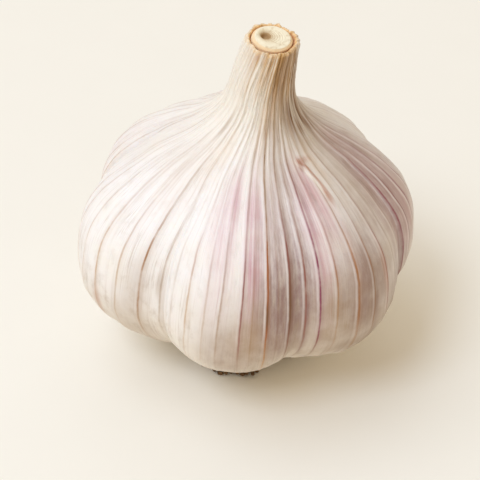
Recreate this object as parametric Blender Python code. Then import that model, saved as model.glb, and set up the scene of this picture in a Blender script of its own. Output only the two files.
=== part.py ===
"""Garlic bulb, as dried and trimmed: a skin-wrapped body of seven cloves with its neck, the cut end of the
stem in the neck's mouth, and the root plate with its trimmed roots, which the bulb stands on.

Metres, +Z up. The origin is the middle of the root plate's flat underside. The front is -Y. An angle round the
bulb is counted from the front, and is positive towards +X.
"""

from math import ceil, cos, radians, sin, tau

import bmesh
import bpy
import numpy as np

MM = 0.001
GAP = 0.3 * MM

# Crest line of the cloves, from the underside to the rim of the neck: radius and height.
CREST = np.array([
    (8.9, 4.5), (13.4, 4.3), (19.3, 7.2), (25.3, 11.7), (28.7, 17.4), (29.1, 24.0), (27.6, 30.2),
    (23.3, 35.7), (17.4, 40.5), (11.2, 44.4), (7.4, 48.0), (5.6, 51.8), (4.9, 57.3), (4.35, 63.3),
]) * MM
ROWS_PER_SPAN = 3
COLUMN_WIDTH = radians(5.0)

# The grooves between the cloves, as angles round the bulb, and how far each clove swells past the crest line.
# The first clove lies between the first two grooves.
GROOVES = [radians(angle) for angle in (-146, -101, -29, 18, 79, 125, 168)]
SWELL = [swell * MM for swell in (0.3, 1.4, 0.9, 0.2, 0.0, 1.0, 0.2)]
SWELL_ENDS = (2.0 * MM, 44.0 * MM)
SWELL_FADES = (6.0 * MM, 10.0 * MM)

# How deep a groove is at each height, and how rounded the clove between two grooves is: 0 is a plain arch, 1 is
# a broad back with soft grooves.
GROOVE_HEIGHTS = np.array([3.5, 7.5, 13.0, 20.5, 30.5, 37.5, 42.0, 46.5]) * MM
GROOVE_DEPTHS = np.array([0.3, 2.2, 2.7, 2.1, 2.0, 1.6, 0.8, 0.0]) * MM
BROAD_HEIGHTS = np.array([0.0, 15.0, 31.0]) * MM
BROAD_SHARES = np.array([0.25, 0.6, 0.8])

# Low down the skin fans out from the front to the sides. The neck leans a little and is cut off askew: the cut
# falls to the right and to the front.
FAN = radians(5.0)
FAN_TOP = 20.0 * MM
FAN_FADE = 14.0 * MM
LEAN = (1.95 * MM, -2.6 * MM)
LEAN_START = 34.0 * MM
CUT_SLOPE = (-0.08, 0.13)

# The neck's mouth and the stem in it.
MOUTH_RADIUS = 3.6 * MM
MOUTH_DEPTH = 9.0 * MM
STEM_DROP = 0.3 * MM
STEM_CHAMFER = 0.35 * MM
STEM_HOLE_RADIUS = 0.75 * MM
STEM_HOLE_DEPTH = 2.5 * MM
STEM_HOLE_PLACE = (-1.2 * MM, 0.1 * MM)
STEM_SIDES = 32

# The root plate, from the middle of its underside to the middle of its top, and the trimmed roots round it.
PLATE = np.array([(0.0, 0.0), (8.0, 0.0), (8.7, 0.5), (8.9, 1.6), (8.3, 3.0), (6.6, 4.0), (0.0, 4.0)]) * MM
PLATE_SIDES = 40
ROOT_COUNT = 19
ROOT_SIDES = 7
ROOT_STEPS = 3
ROOT_START = 6.5 * MM
ROOT_REACH = (12.2 * MM, 14.3 * MM)
ROOT_HEIGHTS = (1.8 * MM, 0.7 * MM)
ROOT_RADII = (0.9 * MM, 0.55 * MM)
ROOT_BEND = radians(5.0)


def clear_scene():
    for thing in list(bpy.data.objects):
        bpy.data.objects.remove(thing, do_unlink=True)


def plain_material(name, colour, roughness):
    material = bpy.data.materials.new(name)
    material.use_nodes = True
    shader = material.node_tree.nodes["Principled BSDF"]
    shader.inputs["Base Color"].default_value = (*colour, 1.0)
    shader.inputs["Roughness"].default_value = roughness
    shader.inputs["Metallic"].default_value = 0.0
    material.diffuse_color = (*colour, 1.0)
    return material


def place_mesh(name, bm, material):
    """Makes the finished object of a bmesh, smooth on its round faces."""
    bmesh.ops.recalc_face_normals(bm, faces=bm.faces[:])
    mesh = bpy.data.meshes.new(name)
    bm.to_mesh(mesh)
    bm.free()
    mesh.shade_smooth()
    mesh.set_sharp_from_angle(angle=radians(40))
    mesh.materials.append(material)
    thing = bpy.data.objects.new(name, mesh)
    bpy.context.collection.objects.link(thing)
    return thing


def close_rings(bm, rings):
    """Closed skin through rings of points, each with as many points as the last, and both ends capped."""
    loops = [[bm.verts.new(point) for point in ring] for ring in rings]
    for low, high in zip(loops, loops[1:]):
        for i in range(len(low)):
            j = (i + 1) % len(low)
            bm.faces.new((low[i], low[j], high[j], high[i]))
    bm.faces.new(loops[0][::-1])
    bm.faces.new(loops[-1])


def ring(radius, height, sides):
    turns = [tau * i / sides for i in range(sides)]
    return [(radius * sin(a), -radius * cos(a), height) for a in turns]


def smooth_line(points, steps):
    """Catmull-Rom curve through the points, with so many steps in each span."""
    ends = np.vstack([2 * points[0] - points[1], points, 2 * points[-1] - points[-2]])
    line = []
    for a, b, c, d in zip(ends, ends[1:], ends[2:], ends[3:]):
        for t in np.arange(steps) / steps:
            bend = (2 * a - 5 * b + 4 * c - d) * t**2 + (3 * b - a - 3 * c + d) * t**3
            line.append(0.5 * (2 * b + (c - a) * t + bend))
    return line + [points[-1]]


def clove_columns():
    """Angle, clove, place across the clove (-1 to 1) and width of each column, with a column in each groove."""
    columns = []
    for clove, start in enumerate(GROOVES):
        end = GROOVES[clove + 1] if clove + 1 < len(GROOVES) else GROOVES[0] + tau
        count = ceil((end - start) / COLUMN_WIDTH)
        for i in range(count):
            columns.append((start + (end - start) * i / count, clove, 2 * i / count - 1, end - start))
    return columns


def skin_point(crest, column):
    """Point of the skin on a column, where the crest line has this radius and height."""
    radius, height = crest
    angle, clove, across, width = column
    broad = np.interp(height, BROAD_HEIGHTS, BROAD_SHARES)
    arch = (1 - broad) * across**2 + broad * (2 * across**2 - across**4)
    depth = np.interp(height, GROOVE_HEIGHTS, GROOVE_DEPTHS) * width / (tau / len(GROOVES))
    rise = min((height - SWELL_ENDS[0]) / SWELL_FADES[0], (SWELL_ENDS[1] - height) / SWELL_FADES[1])
    swell = SWELL[clove] * (1 - across**2) * min(max(rise, 0.0), 1.0)
    radius += swell - depth * arch
    fan = FAN * min(max((FAN_TOP - height) / FAN_FADE, 0.0), 1.0)
    angle += fan * sin(angle)
    return neck_point(radius * sin(angle), -radius * cos(angle), height)


def neck_point(x, y, height):
    """Moves a point as the neck leans at its height, and up or down as the neck is cut."""
    t = min(max((height - LEAN_START) / (CREST[-1][1] - LEAN_START), 0.0), 1.0)
    rise = (CUT_SLOPE[0] * x + CUT_SLOPE[1] * y) * t**6
    return (x + LEAN[0] * t**3, y + LEAN[1] * t**3, height + rise)


def bulb():
    """The cloves under their skin, up to the neck's rim, with the mouth that the stem stands in."""
    columns = clove_columns()
    rings = [[skin_point(crest, column) for column in columns] for crest in smooth_line(CREST, ROWS_PER_SPAN)]
    rim = CREST[-1][1]
    for height in (rim, rim - MOUTH_DEPTH):
        turns = [column[0] for column in columns]
        rings.append([neck_point(MOUTH_RADIUS * sin(a), -MOUTH_RADIUS * cos(a), height) for a in turns])
    bm = bmesh.new()
    close_rings(bm, rings)
    return place_mesh("bulb", bm, plain_material("garlic_skin", (0.86, 0.78, 0.74), 0.5))


def cut_stem():
    """The cut end of the stem, with the small hole in it, leaning and cut off as the neck is."""
    top = CREST[-1][1] - STEM_DROP
    foot = CREST[-1][1] - MOUTH_DEPTH + GAP
    radius = MOUTH_RADIUS - GAP
    levels = ((radius, foot), (radius, top - STEM_CHAMFER), (radius - STEM_CHAMFER, top))
    bm = bmesh.new()
    close_rings(bm, [[neck_point(*point) for point in ring(r, height, STEM_SIDES)] for r, height in levels])
    stem = place_mesh("cut_stem", bm, plain_material("stem_flesh", (0.84, 0.72, 0.50), 0.7))

    x, y, top = neck_point(*STEM_HOLE_PLACE, top)
    bm = bmesh.new()
    ends = [ring(STEM_HOLE_RADIUS, top + side * STEM_HOLE_DEPTH, STEM_SIDES // 2) for side in (-1, 1)]
    close_rings(bm, [[(x + right, y + back, height) for right, back, height in end] for end in ends])
    add_boolean(stem, place_mesh("stem_hole", bm, stem.data.materials[0]), "DIFFERENCE")
    return stem


def root(bm, angle, reach):
    """One trimmed root: a tapered stub out of the plate's edge, bending down and to one side."""
    rings = []
    for step in range(ROOT_STEPS + 1):
        t = step / ROOT_STEPS
        out = ROOT_START + (reach - ROOT_START) * t
        height = ROOT_HEIGHTS[0] + (ROOT_HEIGHTS[1] - ROOT_HEIGHTS[0]) * t**1.5
        thickness = ROOT_RADII[0] + (ROOT_RADII[1] - ROOT_RADII[0]) * t
        turn = angle + ROOT_BEND * t * t * (1 if reach > sum(ROOT_REACH) / 2 else -1)
        section = []
        for i in range(ROOT_SIDES):
            side, rise = thickness * cos(tau * i / ROOT_SIDES), thickness * sin(tau * i / ROOT_SIDES)
            x, y = out * sin(turn) + side * cos(turn), side * sin(turn) - out * cos(turn)
            section.append((x, y, height + rise))
        rings.append(section)
    close_rings(bm, rings)


def root_plate():
    """The corky plate that the bulb stands on, with the trimmed roots round it joined into it."""
    bm = bmesh.new()
    close_rings(bm, [ring(radius, height, PLATE_SIDES) for radius, height in PLATE[1:-1]])
    plate = place_mesh("root_plate", bm, plain_material("root_cork", (0.35, 0.24, 0.15), 0.9))

    roots = bmesh.new()
    for i in range(ROOT_COUNT):
        share = (i * 7 % ROOT_COUNT) / (ROOT_COUNT - 1)
        root(roots, tau * i / ROOT_COUNT, ROOT_REACH[0] + (ROOT_REACH[1] - ROOT_REACH[0]) * share)
    add_boolean(plate, place_mesh("roots", roots, plate.data.materials[0]), "UNION")
    return plate


def add_boolean(thing, other, operation):
    """Cuts or joins the other object, which stays behind as a wire guide."""
    other.hide_render = True
    other.display_type = "WIRE"
    modifier = thing.modifiers.new(other.name, "BOOLEAN")
    modifier.operation = operation
    modifier.solver = "EXACT"
    modifier.object = other


def main():
    clear_scene()
    bulb()
    cut_stem()
    root_plate()


main()
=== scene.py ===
"""Garlic bulb: its looks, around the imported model. One operator makes each piece, and one sets the stage."""

from math import cos, pi, radians, sin, tau

import bpy
import numpy as np
from bpy.props import FloatProperty, FloatVectorProperty, IntProperty, PointerProperty
from bpy.types import Operator, Panel, PropertyGroup
from mathutils import Matrix, Vector


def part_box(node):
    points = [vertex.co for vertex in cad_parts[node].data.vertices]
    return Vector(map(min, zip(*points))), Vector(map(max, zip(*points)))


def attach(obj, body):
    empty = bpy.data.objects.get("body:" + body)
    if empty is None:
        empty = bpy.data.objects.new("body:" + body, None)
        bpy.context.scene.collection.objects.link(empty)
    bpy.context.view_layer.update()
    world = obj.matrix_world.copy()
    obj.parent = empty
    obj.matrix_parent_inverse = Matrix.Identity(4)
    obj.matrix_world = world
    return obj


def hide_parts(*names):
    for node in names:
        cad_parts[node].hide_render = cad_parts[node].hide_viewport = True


bl_info = {
    "name": "Garlic Bulb",
    "version": (1, 0, 0),
    "blender": (4, 5, 0),
    "location": "View3D > Sidebar > Garlic",
    "description": "Makes the veined skin, cut stem and roots of a dried garlic bulb, and a stage for it",
    "category": "Add Mesh",
}

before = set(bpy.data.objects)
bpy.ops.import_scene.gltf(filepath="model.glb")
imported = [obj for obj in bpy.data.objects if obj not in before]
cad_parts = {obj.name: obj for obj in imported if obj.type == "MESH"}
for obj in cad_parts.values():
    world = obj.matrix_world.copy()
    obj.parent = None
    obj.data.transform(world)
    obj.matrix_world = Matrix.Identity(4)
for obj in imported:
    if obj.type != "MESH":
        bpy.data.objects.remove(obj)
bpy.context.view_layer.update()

# One millimetre of a bulb 64 mm high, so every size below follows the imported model's height.
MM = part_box("bulb")[1].z / 64.0

# Crest line of the cloves, from under the bulb to the neck's rim, and then down inside the neck's mouth:
# radius and height in millimetres.
CREST = (
    (3, 4.9), (6.2, 4.8), (8.9, 4.5), (13.4, 4.3), (19.3, 7.2), (25.3, 11.7), (28.7, 17.4), (29.1, 24),
    (27.6, 30.2), (23.3, 35.7), (17.4, 40.5), (11.2, 44.4), (7.4, 48), (5.6, 51.8), (4.9, 57.3), (4.33, 63),
)
MOUTH = (
    (4.24, 63.18), (4.08, 63.26), (3.92, 63.2), (3.78, 63.04), (3.66, 62.84), (3.54, 62.64), (3.47, 62.3),
    (3.5, 54.2),
)
# Rows of the mouth over which the skin's folds and veins die out.
MOUTH_FADE = 3

# The grooves between the cloves, in degrees round the bulb from the front (-Y) towards +X, and how far each
# clove swells past the crest line, in millimetres.
GROOVES = (-146, -101, -29, 18, 79, 125, 168)
SWELL = (0.3, 1.4, 0.9, 0.2, 0.0, 1.0, 0.2)
# Height in millimetres, from the floor to GROOVE_TOP, and the share of the groove's full depth there.
GROOVE_TOP = 46.5
GROOVE_SHAPE = (
    (0, 0), (3.5, 0.11), (7.5, 0.81), (13, 1), (20.5, 0.78), (30.5, 0.74), (37.5, 0.59), (42, 0.3),
    (GROOVE_TOP, 0),
)

# The veins of the front: degrees round the bulb, strength, share of orange brown, share of purple, and how
# far the vein stands out of the folded neck, from -1 to 1.
FRONT_VEINS = (
    (-66, 0.26, 0.4, 0, 0.4), (-57.3, 0.48, 0.5, 0, -0.2), (-48.3, 0.4, 0.4, 0, 0.2),
    (-39.8, 0.68, 0.4, 0, -0.5), (-32.2, 0.38, 0, 0.1, 0.3), (-26, 0.18, 0.1, 0.1, -0.1),
    (-19.8, 0.42, 0.5, 0.3, 0.4), (-13.5, 0.28, 0.3, 0.5, 0.8), (-8.5, 0.45, 0.1, 0.6, 0.2),
    (-1.3, 0.65, 0.1, 0.7, -0.4), (2.4, 0.3, 0.2, 0.4, 0.9), (7.4, 1.3, 0.9, 0, -0.9),
    (11.3, 0.2, 0, 0.3, -0.6), (15.7, 1.2, 0, 0.55, 0.1), (21.9, 0.75, 0, 0.5, -0.3), (26.9, 1.1, 0, 1, 0.7),
    (33, 0.55, 0.4, 0.4, -0.6), (40.6, 0.75, 0.5, 0, -0.2), (47.6, 0.6, 0.4, 0.2, 0.4),
    (55.8, 0.75, 0.3, 0.5, -0.3), (63, 0.3, 0, 0.3, 0.3), (71, 0.35, 0.1, 0.5, -0.4), (79.3, 1, 0, 0.8, 0.5),
    (85.5, 1, 0, 0.7, -0.6), (92, 0.85, 0, 0.8, 0.5), (98.5, 0.9, 0.3, 0.7, -0.5),
)
# The veins of the rest of the bulb are drawn at random.
OTHER_VEINS = 22
VEIN_COUNT = len(FRONT_VEINS) + OTHER_VEINS

# Places across the strip from one vein to the next: the columns crowd towards the veins.
STRIP_PLACES = (0.0, 0.06, 0.15, 0.31, 0.5, 0.69, 0.85, 0.94)

# How far the neck leans by its rim, in millimetres towards +X and +Y, the heights between which it does so,
# and how steeply the cut through it rises towards +X and +Y.
LEAN = (1.95, -2.6)
LEAN_LEVELS = (34, 63.3)
CUT_SLOPE = (-0.08, 0.13)

# The torn edge of the outer layer: height in millimetres, degrees round the bulb. It starts at TORN_TOP, and
# its step is whole from TORN_FADE below that.
TORN_EDGE = ((4, 41), (33, 41.5), (36, 42.5), (39.5, 44.2), (41.5, 43), (43, 40.8), (43.7, 37))
TORN_TOP = 44.2
TORN_FADE = 0.6

# Soft patches of colour: degrees round the bulb, height in millimetres, half width in degrees, half height
# in millimetres, strength. Blushes are pink, tans orange brown and ochres golden. Smudges are dull, mostly
# painted shade low on the bulb, on its right and in the grooves; umbers are dark brown stains, and painted
# shade on the shaded right of the neck; mauves are purplish stains, and painted shade on the right cloves.
BLUSHES = (
    (-11, 38.5, 8, 5, 0.36), (-10, 30, 5, 7, 0.34), (-8.5, 40, 3.5, 3.5, 0.55), (2, 32, 4, 11, 0.85),
    (2, 38, 4, 4, 0.5), (12, 37, 9, 6, 0.3), (29, 39, 5, 5, 0.7), (29, 27, 4, 9, 0.6), (30, 33, 4.5, 5, 0.4),
    (35, 39.5, 6, 4.5, 0.8), (41, 32, 4, 6, 0.25), (85, 34, 16, 11, 0.7), (160, 26, 14, 14, 0.6),
    (205, 24, 10, 14, 0.7), (250, 27, 12, 12, 0.15),
)
TANS = (
    (-57, 17, 1.8, 4, 0.35), (-50, 60, 7, 3, 0.1), (-43, 62.3, 4, 1.3, 0.35), (37.5, 43.5, 1.5, 0.7, 0.4),
    (40, 43.4, 2, 0.7, 0.3), (42, 43.8, 7, 0.35, 0.45), (43.6, 40, 1.3, 1.2, 0.7),
    (55.6, 27.5, 1.3, 4.5, 0.4), (145, 60, 14, 4, 0.5),
)
# Smudges: mostly painted shade, low on the bulb, on its right and in the grooves between the cloves.
SMUDGES_AND_SHADE = (
    (-90, 40, 20, 6, 0.1), (-55, 14, 20, 8, 0.25), (-55, 43, 12, 3, 0.12), (-46, 48, 2.4, 2.6, 0.6),
    (-43, 15, 8, 8, 0.35), (-41, 24, 5, 6, 0.4), (-40, 11, 10, 4, 0.4), (-32.8, 26, 1, 2.5, 0.6),
    (-12, 9, 12, 3, 0.4), (-1.5, 46.5, 1.8, 3.5, 0.5), (0, 17, 14, 7, 0.65), (3, 21.5, 7, 4, 0.35),
    (7, 46.5, 2, 3.5, 0.7), (12, 24, 10, 6.5, 0.6), (14, 40, 8, 6, 0.22), (14, 47, 1.8, 6, 0.7),
    (19, 24, 3, 8, 0.4), (24, 44.5, 8, 4, 0.4), (30, 20.5, 40, 11, 0.8), (31, 22, 6, 5, 0.3),
    (33, 22.5, 7, 3, 0.35), (44, 28, 9, 5, 0.3), (46, 26, 10, 7, 0.6), (55, 39, 20, 8, 0.35),
    (56, 46.3, 8, 1.6, 0.4), (58, 30, 8, 4, 0.3), (58, 47, 28, 4, 0.35), (66, 14, 16, 6.5, 0.9),
    (84, 37, 30, 13, 0.5), (90, 21, 20, 7, 0.4), (132, 38, 32, 12, 0.35), (150, 8, 50, 10, 0.4),
)
OCHRES = (
    (-85, 61.5, 20, 3, 0.1), (-55, 61.8, 18, 2.5, 0.3), (-45, 40, 14, 5, 0.1), (-44, 61, 7, 3, 0.75),
    (-44, 56.5, 9, 4, 0.25), (-30, 44.5, 7, 3.5, 0.15), (-20, 62, 9, 2.5, 0.6), (-20, 58.5, 5, 5, 0.6),
    (-13, 60, 7, 5, 0.5), (-4, 59.5, 5, 6, 0.5), (0, 61.3, 4, 2.5, 0.7), (1.5, 58, 4, 6, 0.25),
    (2, 49, 8, 4, 0.2), (2, 21, 7, 4, 0.12), (3, 61.5, 18, 3, 0.7), (10, 56, 14, 7, 0.3),
    (13, 60.5, 18, 5, 0.7), (20, 49.5, 3, 3, 0.3), (22, 61.5, 14, 3, 0.6), (27, 61.3, 10, 2.2, 0.8),
    (33, 58, 26, 8, 0.85), (40, 49.5, 3, 3, 0.3), (50, 61, 24, 4, 0.6), (50, 43.5, 5, 2.5, 0.2),
    (62, 58, 14, 6, 0.3), (70, 54, 8, 5, 0.35), (75, 53, 9, 4, 0.5), (120, 58, 34, 7, 0.5),
    (200, 60, 22, 6, 0.4),
)
# Umbers: dark brown stains on veins and at the torn tip, and painted shade on the shaded right of the neck.
UMBERS_AND_SHADE = (
    (-5.5, 59, 2.4, 5.5, 0.15), (7.6, 25.5, 0.7, 2.6, 0.9), (9, 60, 4, 4, 0.1), (16.1, 26.5, 0.9, 7, 0.9),
    (21, 49, 4, 3, 0.45), (27, 58, 16, 8, 0.68), (30, 61.3, 6, 2.5, 0.3), (38.3, 43.4, 1.7, 0.6, 0.7),
    (44, 49.5, 12, 3.5, 0.8), (44, 26, 9, 8, 0.3), (47.5, 26, 1.6, 6, 0.35), (50, 60, 20, 6, 0.4),
    (55, 13.5, 18, 5, 0.7), (57, 47.2, 4.5, 1.3, 0.95), (66, 20, 9, 4, 0.25), (67.5, 48.5, 4, 2, 0.9),
    (72, 54, 17, 8, 0.8), (74.5, 36.5, 1.2, 4, 0.35), (76, 40.3, 1.8, 1.2, 0.45), (78, 46.6, 6, 1.2, 0.9),
    (84, 43.2, 2.2, 1.6, 0.45), (85, 36, 1.6, 5, 0.25), (95, 39, 1.2, 3.5, 0.3), (100, 54, 30, 11, 0.5),
    (190, 52, 14, 10, 0.4),
)
# Mauves: purplish stains, and painted shade on the right-hand cloves and in the groove near 18 degrees.
MAUVES_AND_SHADE = (
    (-5, 17, 8, 6, 0.25), (9, 35, 7, 8, 0.3), (13, 25.5, 9, 9.5, 0.95), (20, 37, 7, 9, 0.4),
    (21, 28, 6, 8, 0.7), (22.2, 23, 0.9, 9, 0.8), (28, 41.5, 5, 3, 0.35), (29.5, 38.5, 0.9, 4, 0.4),
    (35, 39.5, 0.9, 3.5, 0.45), (45, 27, 11, 8.5, 0.65), (60, 33, 12, 7, 0.2), (74, 22, 14, 6, 0.6),
    (79, 29, 2, 6, 0.4), (80, 36, 13, 9, 0.55), (92, 41, 2.5, 2.5, 0.5), (100, 38, 15, 9, 0.3),
    (100, 42, 3, 2, 0.4),
)


class Field:
    """A value in a node tree, so that a rule can be written as a formula."""

    def __init__(self, socket):
        self.socket = socket
        self.tree = socket.id_data

    def math(self, operation, *others):
        node = self.tree.nodes.new("ShaderNodeMath")
        node.operation = operation
        for place, value in enumerate((self, *others)):
            plug(node.inputs[place], value)
        return Field(node.outputs[0])

    def __add__(self, other):
        return self.math("ADD", other)

    def __sub__(self, other):
        return self.math("SUBTRACT", other)

    def __rsub__(self, other):
        return self.math("MULTIPLY_ADD", -1.0, other)

    def __mul__(self, other):
        return self.math("MULTIPLY", other)

    def __truediv__(self, other):
        return self.math("DIVIDE", other)

    def __abs__(self):
        return self.math("ABSOLUTE")

    __radd__ = __add__
    __rmul__ = __mul__

    def ramp(self, start, end, low=0.0, high=1.0, soft=True):
        """The value carried from start..end to low..high, and held there."""
        node = self.tree.nodes.new("ShaderNodeMapRange")
        node.interpolation_type = "SMOOTHSTEP" if soft else "LINEAR"
        sockets = ("Value", "From Min", "From Max", "To Min", "To Max")
        for name, value in zip(sockets, (self, start, end, low, high)):
            plug(node.inputs[name], value)
        return Field(node.outputs["Result"])

    def profile(self, points):
        """The value read off a smooth line through the points, both ways from 0 to 1."""
        node = self.tree.nodes.new("ShaderNodeFloatCurve")
        line = node.mapping.curves[0]
        line.points[0].location, line.points[-1].location = points[0], points[-1]
        for x, y in points[1:-1]:
            line.points.new(x, y)
        for point in line.points:
            point.handle_type = "AUTO_CLAMPED"
        node.mapping.update()
        plug(node.inputs["Value"], self)
        return Field(node.outputs[0])

    def random(self, seed):
        """An even random number from 0 to 1 for each value."""
        node = self.tree.nodes.new("ShaderNodeTexWhiteNoise")
        node.noise_dimensions = "1D"
        plug(node.inputs["W"], self + seed)
        return Field(node.outputs["Value"])


def plug(socket, value):
    """Sets a socket to a number or colour, or links it to a field."""
    if isinstance(value, Field):
        socket.id_data.links.new(value.socket, socket)
    elif socket.type == "RGBA" and len(value) == 3:
        socket.default_value = (*value, 1.0)
    else:
        socket.default_value = value


def add_node(tree, kind, inputs=(), output=0, **settings):
    """A node with its settings and its inputs; returns the field of one output."""
    node = tree.nodes.new(kind)
    for name, value in settings.items():
        setattr(node, name, value)
    for name, value in dict(inputs).items():
        plug(node.inputs[name], value)
    return Field(node.outputs[output])


def vector(x, y, z):
    tree = next(part.tree for part in (x, y, z) if isinstance(part, Field))
    return add_node(tree, "ShaderNodeCombineXYZ", {0: x, 1: y, 2: z})


def parts_of(field):
    node = field.tree.nodes.new("ShaderNodeSeparateXYZ")
    plug(node.inputs[0], field)
    return [Field(output) for output in node.outputs]


def scaled(field, factor):
    return add_node(field.tree, "ShaderNodeVectorMath", {0: field, "Scale": factor}, operation="SCALE")


def noise(place, scale, detail=2.0, rough=0.5):
    """Smooth noise, from -1 to 1."""
    inputs = {"Vector": place, "Scale": scale, "Detail": detail, "Roughness": rough}
    return add_node(place.tree, "ShaderNodeTexNoise", inputs) * 2.0 - 1.0


def blend(factor, under, over):
    """Two colours mixed by a factor."""
    colours = {0: factor, 6: under, 7: over}
    return add_node(factor.tree, "ShaderNodeMix", colours, output=2, data_type="RGBA", clamp_factor=True)


def arrange(tree):
    """Sets the nodes out in columns, from the inputs on the left to the output on the right."""
    depth = {node.name: 0 for node in tree.nodes}
    moved = True
    while moved:
        moved = False
        for link in tree.links:
            if depth[link.from_node.name] <= depth[link.to_node.name]:
                depth[link.from_node.name] = depth[link.to_node.name] + 1
                moved = True
    filled = {}
    for node in tree.nodes:
        column = depth[node.name]
        filled[column] = filled.get(column, 0) + 1
        node.location = (-220 * column, -190 * filled[column])


def geometry_tree(name, labels):
    """A Geometry Nodes tree with a geometry input and named number inputs, and the fields of its inputs."""
    tree = bpy.data.node_groups.new(name, "GeometryNodeTree")
    tree.is_modifier = True
    tree.interface.new_socket("Geometry", in_out="OUTPUT", socket_type="NodeSocketGeometry")
    tree.interface.new_socket("Geometry", in_out="INPUT", socket_type="NodeSocketGeometry")
    for label in labels:
        tree.interface.new_socket(label, in_out="INPUT", socket_type="NodeSocketFloat")
    entry = tree.nodes.new("NodeGroupInput")
    return tree, {output.name: Field(output) for output in entry.outputs if output.name}


def stored(tree, name):
    """In a Geometry Nodes tree, the three parts of a vector stored on the mesh."""
    inputs = {"Name": name}
    return parts_of(add_node(tree, "GeometryNodeInputNamedAttribute", inputs, data_type="FLOAT_VECTOR"))


def move(tree, geometry, **where):
    """Set Position, with its Position or its Offset."""
    return add_node(tree, "GeometryNodeSetPosition", {"Geometry": geometry, **where})


def finish_tree(tree, geometry, material):
    """Ends a tree in Realize Instances and Set Material."""
    real = add_node(tree, "GeometryNodeRealizeInstances", {"Geometry": geometry})
    finished = add_node(tree, "GeometryNodeSetMaterial", {"Geometry": real, "Material": material})
    plug(tree.nodes.new("NodeGroupOutput").inputs["Geometry"], finished)
    arrange(tree)


def grow(name, mesh, tree, look, labels):
    """Runs a tree on a mesh, its inputs set from the settings of the same names, and keeps the result as a
    plain mesh, with no modifier left."""
    thing = bpy.data.objects.new(name, mesh)
    bpy.context.scene.collection.objects.link(thing)
    modifier = thing.modifiers.new(tree.name, "NODES")
    modifier.node_group = tree
    sockets = {item.name: item.identifier for item in tree.interface.items_tree if item.in_out == "INPUT"}
    for label in labels:
        modifier[sockets[label]] = float(getattr(look, label.lower().replace(" ", "_")))
    graph = bpy.context.evaluated_depsgraph_get()
    evaluated = thing.evaluated_get(graph)
    grown = bpy.data.meshes.new_from_object(evaluated, preserve_all_data_layers=True, depsgraph=graph)
    thing.modifiers.clear()
    thing.data = grown
    grown.name = name
    bpy.data.meshes.remove(mesh)
    if not grown.polygons:
        raise RuntimeError(f"{name} came out empty")
    grown.shade_smooth()
    return thing


def smooth_line(points, steps):
    """Catmull-Rom curve through the points, with so many steps in each span."""
    points = np.array(points, float)
    ends = np.vstack([2 * points[0] - points[1], points, 2 * points[-1] - points[-2]])
    t = np.linspace(0, 1, steps, endpoint=False)[:, None]
    spans = [b + 0.5 * ((c - a) * t + (2 * a - 5 * b + 4 * c - d) * t**2 + (3 * b - a - 3 * c + d) * t**3)
             for a, b, c, d in zip(ends, ends[1:], ends[2:], ends[3:])]
    return np.vstack([*spans, points[-1:]])


def evenly(line, spacing):
    """The line again, with its points evenly spaced."""
    along = np.concatenate([[0], np.cumsum(np.hypot(*np.diff(line, axis=0).T))])
    places = np.linspace(0, along[-1], round(along[-1] / spacing) + 1)
    return np.column_stack([np.interp(places, along, line[:, 0]), np.interp(places, along, line[:, 1])])


def closed_mesh(name, points):
    """Joins a grid of points, a row for each ring, into a closed skin with a flat face at each end."""
    rows, columns = points.shape[:2]
    grid = np.arange(rows * columns).reshape(rows, columns)
    right = np.roll(grid, -1, axis=1)
    quads = np.stack([grid[:-1], right[:-1], right[1:], grid[1:]], -1).reshape(-1, 4)
    mesh = bpy.data.meshes.new(name)
    mesh.from_pydata(points.reshape(-1, 3), [], [*quads.tolist(), grid[0, ::-1].tolist(), grid[-1].tolist()])
    return mesh


def store(mesh, name, shape, *parts):
    """Stores a vector for every point of a mesh, from three grids."""
    stack = np.dstack([np.broadcast_to(part, shape) for part in parts]).astype(np.float32)
    mesh.attributes.new(name, "FLOAT_VECTOR", "POINT").data.foreach_set("vector", stack.ravel())


def linear(*channels):
    """A colour as shown on screen, each channel from 11 to 255, as the linear values that Blender keeps."""
    return tuple(((value / 255 + 0.055) / 1.055) ** 2.4 for value in channels)


def colour_property(name, description, *colour):
    return FloatVectorProperty(name=name, description=description, subtype="COLOR", min=0, max=1,
                               default=linear(*colour))


def length_property(name, description, millimetres):
    return FloatProperty(name=name, description=description, default=millimetres * MM, min=0, unit="LENGTH",
                         precision=5)


def power_property(name, description, watts):
    return FloatProperty(name=name, description=description, default=watts, min=0, unit="POWER")


def angle_property(name, description, degrees):
    return FloatProperty(name=name, description=description, default=radians(degrees), subtype="ANGLE",
                         unit="ROTATION")


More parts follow.
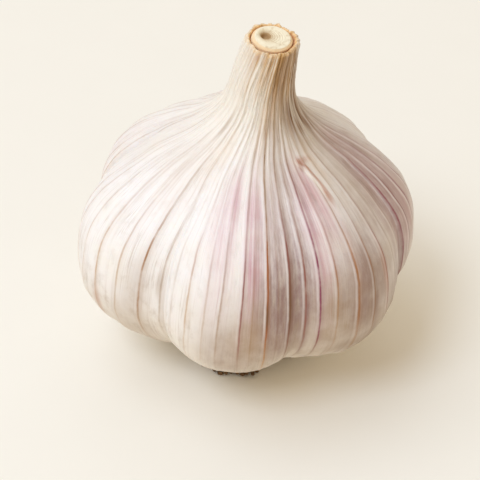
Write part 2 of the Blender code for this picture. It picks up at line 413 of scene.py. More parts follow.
class GarlicSkinSettings(PropertyGroup):
    """Sizes and colours of the skin."""

    groove_depth: length_property("Groove depth", "Depth of the grooves between the cloves", 2.7)
    rib_height: length_property("Rib height", "How far a strong vein stands out of the skin", 0.13)
    rib_width: length_property("Rib width", "Half width of a vein's rib", 0.38)
    sag_depth: length_property("Sag depth", "How far the skin sinks between two veins", 0.1)
    flute_depth: length_property("Flute depth", "Depth of the folds that gather in the neck", 0.36)
    dent_depth: length_property("Dent depth", "Depth of the broad soft dents", 0.3)
    wrinkle_depth: length_property("Wrinkle depth", "Depth of the fine wrinkles along the veins", 0.06)
    layer_thickness: length_property("Layer thickness", "Step at the edge of the torn outer layer", 0.25)
    rim_raggedness: length_property("Rim raggedness", "How unevenly the rim of the neck is torn", 0.5)
    row_spacing: length_property("Row spacing", "Distance between two rows of faces", 0.4)
    seed: IntProperty(name="Seed", description="Start of the random numbers", default=7, min=0)
    white: colour_property("White", "Plain skin", 250, 244, 240)
    cream: colour_property("Cream", "Warm skin, on the neck and low on the bulb", 249, 240, 226)
    ochre: colour_property("Ochre", "Golden stains and the low ends of the veins", 208, 156, 78)
    # Umber also stands for painted shade: on the shaded right of the neck and in the pits of its folds.
    umber_and_shade: colour_property("Umber", "Dark stains, most of them in the neck's folds", 122, 80, 40)
    pink: colour_property("Pink", "The blushes", 210, 150, 163)
    # Mauve also stands for painted shade on the right-hand cloves.
    mauve_and_shade: colour_property("Mauve", "Purplish stains", 150, 116, 116)
    # Shade is the colour of painted shade: most smudges, and the blotches low on the bulb, are painted in it.
    shade: colour_property("Shade", "Dull skin, low on the bulb and on the neck", 178, 153, 127)
    brown: colour_property("Brown", "Plain veins, faint streaks and specks", 156, 118, 74)
    orange: colour_property("Orange brown", "Warm veins and torn edges", 174, 100, 54)
    rind: colour_property("Rim", "The torn rim of the neck", 248, 208, 150)
    purple: colour_property("Purple", "Cool veins", 146, 70, 94)


SKIN_SIZES = ("Groove depth", "Rib height", "Rib width", "Sag depth", "Flute depth", "Dent depth",
              "Wrinkle depth", "Layer thickness", "Rim raggedness")


def vein_list(seed):
    """All veins, from the back round by the left, the front and the right: the numbers of FRONT_VEINS, but
    in radians. Of the random veins, those on the right are stronger and those on the left are paler."""
    chance = np.random.default_rng(seed)
    first, last = FRONT_VEINS[-1][0], FRONT_VEINS[0][0] + 360
    gap = (last - first) / (OTHER_VEINS + 1)
    veins = list(FRONT_VEINS)
    for number in range(1, OTHER_VEINS + 1):
        angle = first + gap * (number + chance.uniform(-0.22, 0.22))
        right, left = angle < 130, angle > 235
        sign = 1 if number % 2 else -1
        strength = chance.uniform(0.35, 0.8) + 0.15 * right - 0.3 * left
        warm = chance.uniform(0, 0.5)
        cool = chance.uniform(0, 0.5) * (not left) + 0.4 * right
        veins.append(((angle + 180) % 360 - 180, strength, warm, cool, sign * chance.uniform(0.2, 1)))
    return np.array(sorted(veins)) * (pi / 180, 1, 1, 1, 1)


def patch_strength(patches, turn, level):
    """How strongly each place, in degrees and millimetres, is covered by the soft patches there."""
    bare = np.ones(np.broadcast(turn, level).shape)
    for middle, middle_level, half_turn, half_level, strength in patches:
        away = np.hypot(((turn - middle + 180) % 360 - 180) / half_turn, (level - middle_level) / half_level)
        bare *= 1 - strength * np.exp(-(away**3))
    return 1 - bare


def skin_columns(veins):
    """The columns of the pattern: how many strips and parts of one lie before each, its angle, the nearest
    vein, the angle from one vein to the next, and how far it stands out of the folded neck."""
    places = np.array(STRIP_PLACES)
    number = np.repeat(np.arange(VEIN_COUNT), len(places)) + np.tile(places, VEIN_COUNT)
    around = np.append(veins[:, 0], veins[0, 0] + tau)
    angle = np.interp(number, np.arange(VEIN_COUNT + 1), around)
    nearest = np.floor(number + 0.5).astype(int) % VEIN_COUNT
    gaps = np.diff(around)
    strip = number.astype(int)
    gap = np.where(number == strip, (gaps[strip] + gaps[strip - 1]) / 2, gaps[strip])
    swing = 0.5 - 0.5 * np.cos(pi * (number - strip))
    flute = veins[strip, 4] * (1 - swing) + veins[(strip + 1) % VEIN_COUNT, 4] * swing
    return number, angle, nearest, gap, flute


def clove_columns(angle):
    """Where each column lies on its clove, from -1 to 1, the clove's width against an even share of the
    bulb, and how far the clove swells."""
    edges = np.radians(np.append(GROOVES, GROOVES[0] + 360.0))
    turned = (angle - edges[0]) % tau + edges[0]
    clove = np.searchsorted(edges, turned, side="right") - 1
    middle, half = (edges[clove] + edges[clove + 1]) / 2, (edges[clove + 1] - edges[clove]) / 2
    return (turned - middle) / half, 2 * half / (tau / len(GROOVES)), np.array(SWELL)[clove] * MM


def map_skin(mesh, number, share, length):
    """Two maps: one counts veins across and millimetres along, and the other is the same map on one tile."""
    corners = np.zeros(len(mesh.loops), np.int32)
    mesh.loops.foreach_get("vertex_index", corners)
    along = share.ravel()[corners // len(number)]
    over = number[corners % len(number)]
    # The last strip of faces ends on the first column, which counts there as one full turn.
    faces = (len(share) - 1) * len(number)
    last = np.arange(faces * 4).reshape(-1, 4)[len(number) - 1::len(number), 1:3]
    over[last] = VEIN_COUNT
    for name, across, up in (("veins", 1.0, length), ("OFBake", 1 / VEIN_COUNT, 1.0)):
        places = np.column_stack([over * across, along * up]).astype(np.float32)
        mesh.uv_layers.new(name=name).data.foreach_set("uv", places.ravel())


def skin_pattern(settings):
    """The skin as a flat pattern: its columns run along the veins, its rows run round the bulb, and its
    attributes say where each point belongs."""
    veins = vein_list(settings.seed)
    number, angle, nearest, gap, flute = skin_columns(veins)
    outside = evenly(smooth_line(CREST, 40), settings.row_spacing / MM)
    rows = np.vstack([outside, MOUTH])
    radius, level = rows[:, :1], rows[:, 1:]
    shape = (len(rows), len(number))
    row = np.arange(len(rows))[:, None]
    share = row / (len(rows) - 1)
    inside = np.clip(row - len(outside) + 1, 0, MOUTH_FADE) / MOUTH_FADE
    turn = np.degrees(angle)
    edge_level, edge_turn = np.array(TORN_EDGE).T
    past_edge = np.radians(turn - np.interp(level, edge_level, edge_turn)) * radius
    torn = np.clip((TORN_TOP - level) / TORN_FADE, 0, 1)

    flat = np.dstack([np.broadcast_to(part, shape) for part in (angle, share, 0.0)])
    mesh = closed_mesh("skin", flat)
    store(mesh, "sheet", shape, angle, number, inside)
    store(mesh, "crest", shape, radius * MM, level * MM, gap)
    store(mesh, "clove", shape, *clove_columns(angle))
    store(mesh, "vein_kind", shape, *veins[nearest, 1:4].T)
    store(mesh, "fold", shape, flute, past_edge, torn)
    for name, kinds in (("patches", (BLUSHES, TANS, SMUDGES_AND_SHADE)), ("tones", (OCHRES, UMBERS_AND_SHADE, MAUVES_AND_SHADE))):
        store(mesh, name, shape, *(patch_strength(kind, turn, level) for kind in kinds))
    map_skin(mesh, number, share, (len(rows) - 1) * settings.row_spacing / MM)
    return mesh


def lean_over(x, y, height):
    """Moves a point as the neck leans at its height, and up or down as the neck is cut."""
    share = (height / MM).ramp(*LEAN_LEVELS, soft=False)
    lean = share.math("POWER", 3.0) * MM
    rise = (x * CUT_SLOPE[0] + y * CUT_SLOPE[1]) * share.math("POWER", 6.0)
    return vector(x + lean * LEAN[0], y + lean * LEAN[1], height + rise)


def clove_radius(tree, level, size):
    """The crest line's radius, swollen over each clove and falling away to the grooves beside it."""
    radius = stored(tree, "crest")[0]
    across, width, swell = stored(tree, "clove")
    shares = [(height / GROOVE_TOP, share) for height, share in GROOVE_SHAPE]
    depth = (level / GROOVE_TOP).profile(shares) * size["Groove depth"]
    broad = level.ramp(0, 31, 0.25, 0.8, soft=False)
    square = across * across
    arch = square * (1.0 - broad) + broad * (square * 2.0 - square * square)
    ends = level.ramp(2, 8) * level.ramp(8, 20, 1.3, 1) * level.ramp(34, 44, 1, 0, soft=False)
    return radius + swell * (1.0 - square) * ends - depth * width * arch


def skin_relief(tree, level, radius, fibres, size):
    """How far each point stands out of the smooth skin, by the veins' ribs, the sag between them, dents,
    wrinkles and the torn layer, and how far apart the veins are there."""
    number = stored(tree, "sheet")[1]
    strength = stored(tree, "vein_kind")[0]
    _, past_edge, torn = stored(tree, "fold")
    place = scaled(add_node(tree, "GeometryNodeInputPosition"), 1 / MM)
    spacing = stored(tree, "crest")[2] * radius
    side = (number - number.math("ROUND")) * spacing
    width = size["Rib width"]
    body = level.ramp(3.5, 9) * level.ramp(38, 50, 1, 0.35)
    rib = abs(side).ramp(0, width * 2.0, 1, 0) - abs(side - width * 1.2).ramp(0, width, 0.45, 0)
    ribs = rib * strength * level.ramp(11, 27, 0.15, 1) * size["Rib height"]
    between = number.math("FRACT")
    bow = between * (1.0 - between) * 4.0 * (number.math("FLOOR").random(3.0) * 1.4 + 0.1)
    sag = bow * spacing.ramp(0.6 * MM, 4.5 * MM, 0.1, 1) * size["Sag depth"] * body
    dents = noise(place, 0.11, 1.0) * size["Dent depth"] * body
    wrinkles = noise(fibres, 1.0, 3.0, 0.6) * size["Wrinkle depth"]
    edge = past_edge.ramp(-0.5, 0.0) * past_edge.ramp(0.1, 9, 1, 0) + abs(past_edge).ramp(0, 0.5, 0.35, 0)
    layer = edge * torn * level.ramp(4, 14) * size["Layer thickness"]
    return ribs - sag + dents + wrinkles + layer, spacing


def neck_folds(tree, level, around, ahead, inside):
    """How far the neck's folds stand out at each point: they are softer on the left and end in the mouth."""
    flute = stored(tree, "fold")[0]
    pleats = abs(noise(vector(around * 7.0, ahead * 7.0, level * 0.06), 1.0, 4.0, 0.65)) * -3.0 + 0.8
    folds = (flute * 0.6 + pleats * 0.9 - 0.5) * level.ramp(36, 50) * (1.0 - inside * 0.9)
    return folds * around.ramp(-0.95, -0.3, 0.4, 1)


def twisted(angle, around, level, circle):
    """The angle, turned as the veins wander, lean over low on the bulb and wind round the neck."""
    lean = level.ramp(6, 20, radians(5), 0, soft=False) * around
    wander = noise(scaled(circle, 1.6), 1.0, 1.0) * level.ramp(15, 40, 0, radians(3.5))
    winding = level.ramp(42, 52, 0, radians(9)) + (0.4 - around * 0.6) * level.ramp(52, 63, 0, radians(9))
    return angle + lean + wander + winding


def skin_tree(material):
    """Geometry Nodes: wraps the pattern round the cloves, gathers it into the neck and raises its veins."""
    tree, size = geometry_tree("Garlic skin", SKIN_SIZES)
    angle, _, inside = stored(tree, "sheet")
    height = stored(tree, "crest")[1]
    level = height / MM
    around, ahead = angle.math("SINE"), angle.math("COSINE")
    circle = vector(around, ahead, level * 0.03)

    folds = neck_folds(tree, level, around, ahead, inside)
    rim = level.ramp(60.4, 62.8)
    wavy = noise(circle, 2.3, 3.0, 0.6) * rim * (0.42 * MM)
    radius = clove_radius(tree, level, size) + folds * size["Flute depth"] + wavy
    ragged = noise(circle, 1.8, 5.0, 0.7).ramp(-0.35, 0.35) * rim
    lower_behind = rim * ahead.ramp(-0.9, 0.2, 0.25 * MM, 0)
    height = height - ragged * size["Rim raggedness"] - lower_behind
    turned = twisted(angle, around, level, circle)
    place = lean_over(radius * turned.math("SINE"), radius * turned.math("COSINE") * -1.0, height)
    smooth = move(tree, size["Geometry"], Position=place)

    fibres = vector(around * 22.0, ahead * 22.0, level * 0.13)
    relief, spacing = skin_relief(tree, level, radius, fibres, size)
    offset = scaled(add_node(tree, "GeometryNodeInputNormal"), relief * (1.0 - inside))
    lie = {"Geometry": smooth, "Name": "lie", "Value": vector(spacing / MM, folds, 0.0)}
    marked = add_node(tree, "GeometryNodeStoreNamedAttribute", lie, data_type="FLOAT_VECTOR")
    finish_tree(tree, move(tree, marked, Offset=offset), material)
    return tree


def new_material(name):
    """A material with its shader; returns the material, the tree and the shader node."""
    material = bpy.data.materials.new(name)
    material.use_nodes = True
    tree = material.node_tree
    return material, tree, next(node for node in tree.nodes if node.type == "BSDF_PRINCIPLED")


def painted(tree, name):
    """In a material, the three parts of a vector stored on the piece."""
    return parts_of(add_node(tree, "ShaderNodeAttribute", output=1, attribute_name=name))


def object_place(tree):
    """Object coordinates, in millimetres."""
    return scaled(add_node(tree, "ShaderNodeTexCoord", output=3), 1 / MM)


def add_bump(tree, shader, height, distance):
    """Fine relief in the shading: a height from -1 to 1, and how deep it is."""
    bump = {"Height": height, "Distance": distance}
    plug(shader.inputs["Normal"], add_node(tree, "ShaderNodeBump", bump))


class SkinGuide:
    """What the skin's colours follow at each point, in veins and millimetres."""

    def __init__(self, tree):
        self.tree = tree
        self.over, self.along, _ = parts_of(add_node(tree, "ShaderNodeUVMap", uv_map="veins"))
        self.place = object_place(tree)
        radius, height, _ = painted(tree, "crest")
        self.radius, self.level = radius / MM, height / MM
        self.spacing, self.folds, _ = painted(tree, "lie")
        self.blush, self.tan, self.smudge_and_shade = painted(tree, "patches")
        self.ochre, self.umber_and_shade, self.mauve_and_shade = painted(tree, "tones")
        _, self.past_edge, self.torn = painted(tree, "fold")
        self.inside = painted(tree, "sheet")[2]
        turn = self.over * (tau / VEIN_COUNT)
        self.across, self.ahead = turn.math("SINE"), turn.math("COSINE")
        self.streak = self.fibre(34.0, 0.06)

    def fibre(self, fineness, stretch, detail=2.0, rough=0.5):
        """Noise drawn out along the veins."""
        place = vector(self.across * fineness, self.ahead * fineness, self.along * stretch)
        return noise(place, 1.0, detail, rough)


def plain_skin(at, look):
    """White skin that turns cream on the neck, low down and in clouds, with faint brown streaks."""
    colour = blend(at.level.ramp(36, 54), look.white, look.cream)
    colour = blend(at.level.ramp(10, 27, 0.9, 0), colour, look.cream)
    colour = blend(noise(at.place, 0.12).ramp(-0.2, 0.5, 0, 0.4), colour, look.cream)
    return blend(at.streak.ramp(0.0, 0.5, 0, 0.16), colour, look.brown)


def paint_patches(colour, at, look):
    """The soft patches of colour, broken up along the fibres, some of them painted shade, and blotches in the
    shade colour that thin out upwards: partly mottling, partly painted shade low on the bulb.
    """
    blotch = at.fibre(16.0, 0.3, 4.0, 0.65)
    stain = at.streak * 0.6 + at.fibre(9.0, 0.03, 1.0) * 1.4 + 0.8
    colour = blend(at.blush * (at.streak * 0.7 + noise(at.place, 0.2) * 0.5 + 0.62), colour, look.pink)
    # Painted shade, mottled: the smudge patches.
    colour = blend(at.smudge_and_shade * noise(at.place, 0.3, 3.0).ramp(-0.5, 0.4, 0.7, 1.0), colour, look.shade)
    # Purplish stains, and painted shade on the right-hand cloves.
    colour = blend(at.mauve_and_shade * (at.streak * 0.5 + blotch * 0.9 + 0.7), colour, look.mauve_and_shade)
    # Blotches in the shade colour, denser low down: partly mottling, partly painted shade.
    colour = blend(blotch.ramp(-0.05, 0.55, 0, 0.45) * at.level.ramp(14, 32, 1, 0.4), colour, look.shade)
    colour = blend(at.ochre * stain, colour, look.ochre)
    # Dark brown stains, and painted shade on the shaded right of the neck.
    return blend(at.umber_and_shade * stain, colour, look.umber_and_shade)


def paint_hairlines(colour, at, look):
    """Short lines as fine as hairs, brown, or purple in the blushes."""
    hair = abs(at.fibre(52.0, 0.05)).ramp(0.0, 0.07, 0.3, 0) * at.fibre(9.0, 0.08).ramp(-0.2, 0.4)
    return blend(hair, colour, blend(at.blush, look.brown, look.purple))


def vein_colour(at, look, strength, warm, cool):
    """Brown, orange or purple, brown or golden towards the roots, and dark brown in a dark stain there."""
    plain = blend(warm * at.level.ramp(34, 42, 1, 0.2), look.brown, look.orange)
    colour = blend(cool * at.level.ramp(38, 48, 1, 0), plain, look.purple)
    faint = strength.ramp(0.75, 0.45)
    tail = at.level.ramp(24, 12, 0, 0.8).math("MAXIMUM", at.level.ramp(38, 24, 0, 0.85) * faint)
    colour = blend(tail, colour, blend(warm * 1.3, look.brown, look.ochre))
    return blend(at.umber_and_shade * at.level.ramp(28, 34, 1, 0), colour, look.umber_and_shade)


def paint_veins(colour, at, look):
    """Each vein as a line with a soft halo, patchy along its length, and a painted highlight on its left."""
    strength, warm, cool = painted(at.tree, "vein_kind")
    number = at.over.math("ROUND")
    own = number.math("FLOORED_MODULO", float(VEIN_COUNT)) * 7.3
    side = (at.over - number) * at.spacing + noise(vector(own, at.along * 0.35, 0.0), 1.0) * 0.09
    patchy = noise(vector(own, at.along * 0.14, 5.0), 1.0, 4.0, 0.65).ramp(-0.5, 0.2, 0.5, 1.4)
    fade = at.level.ramp(44, 52, 1, 0.5) * at.level.ramp(4, 9, 0.2, 1)
    core = abs(side - 0.12).ramp(0.07, 0.25, 1, 0)
    halo = abs(side - 0.25).ramp(0.05, 1.0, 0.22, 0)
    highlight_line = abs(side + 0.3).ramp(0.03, 0.3, 0.4, 0)
    dark = strength * patchy * at.level.ramp(30, 39, 1, 0.4) * at.level.ramp(10, 24, 0.12, 1) * fade
    highlight_strength = strength * patchy * at.level.ramp(15, 27, 0.12, 1) * at.level.ramp(33, 43, 1, 0.5) * fade
    # Painted highlight: a pale line along each vein's left side, as on a rib lit from the left.
    colour = blend(highlight_line * highlight_strength, colour, look.white)
    return blend(core.math("MAXIMUM", halo) * dark, colour, vein_colour(at, look, strength, warm, cool))


def paint_fold_shade(colour, at, look):
    """Painted shade: dark brown in the pits of the neck's folds, stronger where the umber patches paint shade.
    """
    pit_shade = (at.folds * -0.7 - at.streak * 0.4).ramp(0.1, 1.1) * at.level.ramp(43, 54)
    return blend(pit_shade * (at.umber_and_shade * 0.7 + 0.2), colour, look.umber_and_shade)


def paint_torn_edge(colour, at, look):
    """The high end of the torn edge, with a painted highlight beside it, and the orange brown patches."""
    torn = at.torn * at.level.ramp(38.3, 40.3, 0.05, 0.9)
    highlight_line = abs(at.past_edge + 0.45).ramp(0.1, 0.4, 0.6, 0) * torn
    edge = abs(at.past_edge - 0.12).ramp(0.08, 0.42, 0.6, 0) * torn
    # Painted highlight beside the torn edge.
    colour = blend(highlight_line, colour, look.cream)
    return blend(edge.math("MAXIMUM", at.tan * (at.streak * 0.8 + 0.9)), colour, look.orange)


def paint_rim(colour, at, look):
    """The neck's rim and its mouth: straw colour with golden stains, and orange brown down the inside as
    painted shade in the gap round the stem.
    """
    rim = (at.level + noise(at.place, 0.9)).ramp(62.3, 63.2, 0, 0.5)
    rind = blend(noise(at.place, 1.1, 3.0).ramp(-0.05, 0.4, 0, 0.75), look.rind, look.ochre)
    # Painted shade in the gap round the stem: orange brown, stronger deeper in the mouth.
    rind = blend(at.radius.ramp(3.9, 3.6, 0, 0.75), rind, look.orange)
    return blend(rim.math("MAXIMUM", at.inside.ramp(0.5, 1.0, 0, 0.95)), colour, rind)


def paint_specks(colour, at, look):
    return blend(noise(at.place, 1.6, 3.0).ramp(0.62, 0.72, 0, 0.5), colour, look.brown)


PAINTS = (paint_patches, paint_hairlines, paint_veins, paint_fold_shade, paint_torn_edge, paint_rim, paint_specks)


def skin_material(look):
    material, tree, shader = new_material("Dried skin")
    at = SkinGuide(tree)
    colour = plain_skin(at, look)
    for paint in PAINTS:
        colour = paint(colour, at, look)
    plug(shader.inputs["Base Color"], colour)
    plug(shader.inputs["Roughness"], at.fibre(30.0, 0.1).ramp(-0.5, 0.5, 0.4, 0.52))
    shader.inputs["Subsurface Weight"].default_value = 0.12
    shader.inputs["Subsurface Radius"].default_value = (1.0, 0.7, 0.5)
    shader.inputs["Subsurface Scale"].default_value = 1.2 * MM
    add_bump(tree, shader, at.fibre(80.0, 0.25, 3.0) + noise(at.place, 3.0) * 0.5, 0.03 * MM)
    arrange(tree)
    return material


class GarlicStemSettings(PropertyGroup):
    """Sizes and colours of the cut stem."""

    cut_roughness: length_property("Cut roughness", "Depth of the torn fibres on the cut face", 0.09)
    ring_depth: length_property("Ring depth", "Depth of the ovals round the hole", 0.05)
    flesh: colour_property("Flesh", "The dry pale middle of the stem", 255, 243, 214)
    ring: colour_property("Ring", "The ovals round the hole", 196, 160, 108)
    hole: colour_property("Hole", "The hole", 184, 148, 102)
    rind: colour_property("Rind", "The stem's outer edge", 252, 222, 176)


STEM_SIZES = ("Cut roughness", "Ring depth")
# The ovals on the cut face are waves of a sine, this many radians from the stem's foot to the hole.
OVALS = 75.0


def rings_mesh(name, rings, sides):
    """Rings of points joined into a closed skin. Each ring is its middle across and back, radius and height,
    in millimetres. The attribute "grain" holds the share of the way along, and the cosine and sine of the
    angle."""
    turn = tau * np.arange(sides) / sides
    x, y, radius, height = np.array(rings).T[:, :, None]
    shape = (len(rings), sides)
    points = [x + radius * np.sin(turn), y - radius * np.cos(turn), np.broadcast_to(height, shape)]
    mesh = closed_mesh(name, np.dstack(points) * MM)
    share = np.linspace(0, 1, len(rings))[:, None]
    store(mesh, "grain", shape, share, np.cos(turn), np.sin(turn))
    return mesh


def stem_pattern():
    """The stem as rings, still upright: up its side, over the cut face and down into the hole."""
    foot, shoulder, top, radius = 54.6, 62.59, 63.14, 3.42
    hole_x, hole_y, hole_radius = -1.15, 0.25, 0.85
    rounding = ((0.05, 0.38), (0.17, 0.26), (0.32, 0.17), (0.42, 0.05))
    into_hole = ((0.74, 0.28), (0.64, 0.45), (0.52, 0.65), (0.4, 0.8))
    face_radius, face_dip = radius - 0.48, 0.15
    side = [(0, 0, radius, height) for height in np.linspace(foot, shoulder, 10)]
    edge = [(0, 0, radius - inset, top - drop) for inset, drop in rounding]
    face = [(hole_x * t, hole_y * t, face_radius + (hole_radius - face_radius) * t, top - face_dip * t**3)
            for t in np.linspace(0, 1, 34) ** 0.85]
    hole = [(hole_x, hole_y, wide, top - drop) for wide, drop in into_hole]
    return rings_mesh("stem", side + edge + face + hole, 112)


def stem_tree(material):
    """Geometry Nodes: tears the stem's cut face a little, raises its ovals and leans it over."""
    tree, size = geometry_tree("Cut stem", STEM_SIZES)
    along, ahead, around = stored(tree, "grain")
    at = add_node(tree, "GeometryNodeInputPosition")
    torn = noise(scaled(at, 1 / MM), 1.3, 4.0, 0.65) * size["Cut roughness"]
    wobble = along + noise(vector(ahead, around, 0.0), 1.4) * 0.02
    ovals = (wobble * OVALS).math("SINE") * size["Ring depth"] * along.ramp(0.3, 0.5)
    offset = scaled(add_node(tree, "GeometryNodeInputNormal"), (torn + ovals) * along.ramp(0.1, 0.2))
    x, y, height = parts_of(at)
    # The stem stands a little behind the middle of the mouth.
    place = lean_over(x, y + 0.2 * MM, height)
    finish_tree(tree, move(tree, size["Geometry"], Position=place, Offset=offset), material)
    return tree


def stem_material(look):
    material, tree, shader = new_material("Stem flesh")
    along, ahead, around = painted(tree, "grain")
    place = object_place(tree)
    wobble = along + noise(vector(ahead, around, 0.0), 1.4) * 0.03
    ovals = (wobble * OVALS).math("SINE").ramp(0.1, 0.9, 0, 0.5) * along.ramp(0.45, 0.75)
    colour = blend(ovals, look.flesh, look.ring)
    colour = blend(noise(place, 0.9, 3.0).ramp(0.0, 0.5, 0, 0.45), colour, look.ring)
    colour = blend(along.ramp(0.62, 0.9, 0, 0.45), colour, look.ring)
    colour = blend(along.ramp(0.23, 0.28, 0.9, 0), colour, look.rind)
    colour = blend((along + noise(place, 2.2) * 0.04).ramp(0.86, 0.93), colour, look.hole)
    plug(shader.inputs["Base Color"], colour)
    shader.inputs["Roughness"].default_value = 0.75
    add_bump(tree, shader, noise(place, 5.0, 4.0, 0.7), 0.06 * MM)
    arrange(tree)
    return material


class GarlicRootSettings(PropertyGroup):
    """Sizes and colours of the root plate and its trimmed roots."""

    root_count: IntProperty(name="Root count", description="Roots round the plate", default=200, min=3)
    root_reach: length_property("Root reach", "How far out the longest roots lie", 13.5)
    root_thickness: length_property("Root thickness", "Radius of a root where it leaves the plate", 0.56)
    cork_roughness: length_property("Cork roughness", "Depth of the plate's cracks", 0.25)
    cork: colour_property("Cork", "The plate", 128, 96, 62)
    root: colour_property("Root", "The dry roots", 146, 108, 68)
    dark: colour_property("Dark", "Cracks and the roots' cut ends", 78, 54, 32)


ROOT_SIZES = ("Root count", "Root reach", "Root thickness", "Cork roughness")


def plate_pattern():
    """The corky plate as rings: radius and height, from the middle of its flat underside over its edge to
    the middle of its top."""
    line = ((0.15, 0.25), (1.2, 0.2), (2.4, 0.08), (4, 0), (5.6, 0), (7.2, 0), (8.0, 0.05), (8.5, 0.45),
            (8.8, 1.2), (8.7, 2.1), (8.2, 3.1), (7.4, 3.7), (6.4, 4.0), (3, 4.0), (0.2, 4.0))
    fine = evenly(smooth_line(line, 8), 0.25)
    return rings_mesh("roots", [(0, 0, radius, max(height, 0)) for radius, height in fine], 128)


def cracked_plate(tree, size):
    """The plate with its cracks, which leave its underside flat."""
    place = scaled(add_node(tree, "GeometryNodeInputPosition"), 1 / MM)
    level = parts_of(place)[2]
    cracks = noise(place, 0.55, 5.0, 0.7) * size["Cork roughness"] * level.ramp(0.0, 0.5)
    offset = cracks - size["Cork roughness"] * level.ramp(0, 1, 0, 0.5)
    return move(tree, size["Geometry"], Offset=scaled(add_node(tree, "GeometryNodeInputNormal"), offset))


def root_lines(tree, size):
    """A line for each root, set round the plate. The roots in front reach out from under the bulb, and most
    of the others are trimmed shorter."""
    index = add_node(tree, "GeometryNodeInputIndex")
    turn = (index + index.random(1.0) * 0.6) * tau / size["Root count"]
    start = index.random(2.0).ramp(0, 1, 6.5 * MM, 8.0 * MM)
    rise = index.random(4.0).ramp(0, 1, 1.0 * MM, 2.3 * MM)
    spot = vector(turn.math("SINE") * start, turn.math("COSINE") * start * -1.0, rise)
    points = add_node(tree, "GeometryNodePoints", {"Count": size["Root count"], "Position": spot})
    line = add_node(tree, "GeometryNodeCurvePrimitiveLine", {"Start": (0, 0, 0), "End": (0, -1, 0)})
    line = add_node(tree, "GeometryNodeResampleCurve", {"Curve": line, "Count": 9})
    front = (turn + 0.08).math("COSINE").ramp(0.9, 0.98)
    trimmed = (1.0 - front) * (index.random(8.0).ramp(0.8, 0.9, 2.8, 0.6) * MM)
    reach = (size["Root reach"] - trimmed - start) * index.random(5.0).ramp(0, 1, front * 0.33 + 0.65, 1.0)
    pitch = rise / reach * 0.6
    sway = (index.random(6.0) - 0.5) * 0.3
    heading = add_node(tree, "FunctionNodeEulerToRotation", {0: vector(pitch, 0.0, turn + sway)})
    stubs = {"Points": points, "Instance": line, "Rotation": heading, "Scale": vector(reach, reach, reach)}
    stubs = add_node(tree, "GeometryNodeInstanceOnPoints", stubs)
    return add_node(tree, "GeometryNodeRealizeInstances", {"Geometry": stubs})


def root_stubs(tree, size):
    """The roots: the lines bent towards their ends, kept off the floor and given their thickness."""
    at = add_node(tree, "GeometryNodeInputPosition")
    x, y, z = parts_of(at)
    here = scaled(at, 1 / MM)
    along = add_node(tree, "GeometryNodeSplineParameter")
    bend = along * along * MM
    thick = size["Root thickness"] * along.ramp(0, 1, 1.0, 0.6) * (noise(here, 1.2) * 0.4 + 0.9)
    bent_x = x + noise(here, 0.35) * bend * 2.0
    bent_y = y + noise(scaled(here, -1.0), 0.35) * bend * 2.0
    bent_z = (z + noise(here, 0.8) * bend * 0.6).math("MAXIMUM", thick)
    lines = move(tree, root_lines(tree, size), Position=vector(bent_x, bent_y, bent_z))
    section = add_node(tree, "GeometryNodeCurvePrimitiveCircle", {"Resolution": 9, "Radius": 1.0})
    tube = {"Curve": lines, "Profile Curve": section, "Scale": thick, "Fill Caps": True}
    return add_node(tree, "GeometryNodeCurveToMesh", tube)


def root_tree(material):
    """Geometry Nodes: cracks the plate and sets the trimmed roots round it."""
    tree, size = geometry_tree("Root tuft", ROOT_SIZES)
    join = tree.nodes.new("GeometryNodeJoinGeometry")
    plug(join.inputs[0], cracked_plate(tree, size))
    plug(join.inputs[0], root_stubs(tree, size))
    finish_tree(tree, Field(join.outputs[0]), material)
    return tree


def root_material(look):
    material, tree, shader = new_material("Root cork")
    place = object_place(tree)
    x, y, _ = parts_of(place)
    out = (x * x + y * y).math("SQRT")
    colour = blend(out.ramp(7.5, 9.5), look.cork, look.root)
    colour = blend(noise(place, 0.7, 5.0, 0.7).ramp(0.0, 0.45, 0, 0.8), colour, look.dark)
    colour = blend(out.ramp(11.0, 12.8, 0, 0.5), colour, look.dark)
    plug(shader.inputs["Base Color"], colour)
    shader.inputs["Roughness"].default_value = 0.85
    add_bump(tree, shader, noise(place, 2.5, 5.0, 0.7), 0.15 * MM)
    arrange(tree)
    return material


class GarlicStageSettings(PropertyGroup):
    """The floor, the light and the camera."""

    floor_colour: colour_property("Floor", "The pale floor", 247, 242, 231)
    cloud_colour: colour_property("Floor clouds", "Faint clouds on the floor", 200, 190, 176)
    main_power: power_property("Main light", "Strength of the light in front", 15.7)
    side_power: power_property("Side light", "Strength of the light on the left", 13.1)
    back_power: power_property("Back light", "Strength of the light behind", 3.8)
    light_colour: colour_property("Light colour", "Colour of the three lights", 214, 231, 255)
    fill_strength: FloatProperty(name="Glow", description="Strength of the even glow", default=0.61, min=0)
    fill_colour: colour_property("Glow colour", "Colour of the glow from all round", 255, 240, 215)
    lens: FloatProperty(name="Lens", description="Focal length in millimetres", default=171.7, min=1)
    elevation: angle_property("Elevation", "Camera's height above the horizon", 36)
    roll: angle_property("Roll", "Camera's turn about its own axis", 3.66)


def floor_material(stage):
    material, tree, shader = new_material("Pale floor")
    tone = noise(add_node(tree, "ShaderNodeTexCoord", output=3), 60.0).ramp(-0.5, 0.5, 0, 0.02)
    plug(shader.inputs["Base Color"], blend(tone, stage.floor_colour, stage.cloud_colour))
    shader.inputs["Roughness"].default_value = 0.9
    shader.inputs["Specular IOR Level"].default_value = 0.1
    arrange(tree)
    return material


def make_floor(stage):
    """A flat floor six metres wide."""
    half = 3.0
    corners = [(-half, -half, 0), (half, -half, 0), (half, half, 0), (-half, half, 0)]
    mesh = bpy.data.meshes.new("floor")
    mesh.from_pydata(corners, [], [(0, 1, 2, 3)])
    mesh.materials.append(floor_material(stage))
    floor = bpy.data.objects.new("floor", mesh)
    bpy.context.scene.collection.objects.link(floor)


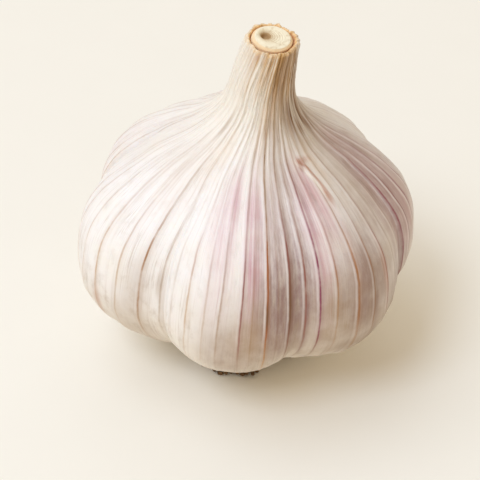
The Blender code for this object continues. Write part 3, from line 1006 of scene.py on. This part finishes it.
def make_light(name, power, colour, turn, rise, spread):
    """A large soft round light two metres away: its direction in degrees round from the front and above the
    floor, and its width against its distance."""
    distance = 2
    lamp = bpy.data.lights.new(name, "AREA")
    lamp.shape = "DISK"
    lamp.size = distance * spread
    lamp.energy = power
    lamp.color = colour
    light = bpy.data.objects.new(name, lamp)
    turn, rise = radians(turn), radians(rise)
    towards = Vector((sin(turn) * cos(rise), -cos(turn) * cos(rise), sin(rise)))
    light.location = towards * distance
    light.rotation_euler = towards.to_track_quat("Z", "Y").to_euler()
    bpy.context.scene.collection.objects.link(light)


def make_lights(stage):
    """A soft light in front, a larger one on the left, a faint one behind, and a glow from all round."""
    make_light("main_light", stage.main_power, stage.light_colour, -38, 50, 0.45)
    make_light("side_light", stage.side_power, stage.light_colour, -90, 60, 0.9)
    make_light("back_light", stage.back_power, stage.light_colour, 180, 50, 0.9)
    world = bpy.data.worlds.new("glow")
    world.use_nodes = True
    glow = next(node for node in world.node_tree.nodes if node.type == "BACKGROUND")
    glow.inputs["Color"].default_value = (*stage.fill_colour, 1)
    glow.inputs["Strength"].default_value = stage.fill_strength
    bpy.context.scene.world = world


def make_camera(stage):
    """Looks down at the bulb's middle from the front, and leans a little to one side."""
    middle = Vector((0, 0, 22 * MM))
    distance = 0.4
    lens = bpy.data.cameras.new("camera")
    lens.lens = stage.lens
    lens.sensor_width = 36
    lens.shift_x, lens.shift_y = -0.018, -0.018
    lens.clip_start = 0.01
    camera = bpy.data.objects.new("camera", lens)
    away = Vector((0, -cos(stage.elevation), sin(stage.elevation)))
    turn = away.to_track_quat("Z", "Y").to_matrix().to_4x4() @ Matrix.Rotation(stage.roll, 4, "Z")
    camera.matrix_world = Matrix.Translation(middle + away * distance) @ turn
    bpy.context.scene.collection.objects.link(camera)
    bpy.context.scene.camera = camera
    bpy.context.scene.view_settings.view_transform = "Standard"


class GARLIC_OT_skin(Operator):
    """Makes the skin that holds the cloves and gathers into the neck"""

    bl_idname = "garlic.skin"
    bl_label = "Make skin"

    def execute(self, context):
        look = context.scene.garlic_skin
        skin = grow("skin", skin_pattern(look), skin_tree(skin_material(look)), look, SKIN_SIZES)
        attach(skin, "root")
        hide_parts("bulb")
        return {"FINISHED"}


class GARLIC_OT_stem(Operator):
    """Makes the cut end of the stem inside the neck"""

    bl_idname = "garlic.stem"
    bl_label = "Make stem"

    def execute(self, context):
        look = context.scene.garlic_stem
        stem = grow("stem", stem_pattern(), stem_tree(stem_material(look)), look, STEM_SIZES)
        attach(stem, "root")
        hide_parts("cut_stem")
        return {"FINISHED"}


class GARLIC_OT_roots(Operator):
    """Makes the corky root plate with its trimmed roots"""

    bl_idname = "garlic.roots"
    bl_label = "Make roots"

    def execute(self, context):
        look = context.scene.garlic_roots
        roots = grow("roots", plate_pattern(), root_tree(root_material(look)), look, ROOT_SIZES)
        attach(roots, "root")
        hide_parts("root_plate")
        return {"FINISHED"}


class GARLIC_OT_stage(Operator):
    """Sets the floor, the light and the camera"""

    bl_idname = "garlic.stage"
    bl_label = "Set stage"

    def execute(self, context):
        stage = context.scene.garlic_stage
        make_floor(stage)
        make_lights(stage)
        make_camera(stage)
        return {"FINISHED"}


class GARLIC_PT_panel(Panel):
    """Lists the garlic bulb's sizes, colours and operators"""

    bl_idname = "GARLIC_PT_panel"
    bl_label = "Garlic Bulb"
    bl_space_type = "VIEW_3D"
    bl_region_type = "UI"
    bl_category = "Garlic"

    def draw(self, context):
        for name, operator in STEPS:
            settings = getattr(context.scene, name)
            box = self.layout.box()
            for field in settings.__annotations__:
                box.prop(settings, field)
            box.operator(operator)


STEPS = (("garlic_skin", "garlic.skin"), ("garlic_stem", "garlic.stem"), ("garlic_roots", "garlic.roots"),
         ("garlic_stage", "garlic.stage"))
SETTINGS = (GarlicSkinSettings, GarlicStemSettings, GarlicRootSettings, GarlicStageSettings)
CLASSES = (*SETTINGS, GARLIC_OT_skin, GARLIC_OT_stem, GARLIC_OT_roots, GARLIC_OT_stage, GARLIC_PT_panel)


def register():
    for kind in CLASSES:
        bpy.utils.register_class(kind)
    for (name, _), kind in zip(STEPS, SETTINGS):
        setattr(bpy.types.Scene, name, PointerProperty(type=kind))


def unregister():
    for name, _ in STEPS:
        delattr(bpy.types.Scene, name)
    for kind in reversed(CLASSES):
        bpy.utils.unregister_class(kind)


def main():
    register()
    bpy.ops.garlic.skin()
    bpy.ops.garlic.stem()
    bpy.ops.garlic.roots()
    bpy.ops.garlic.stage()


if __name__ == "__main__":
    main()
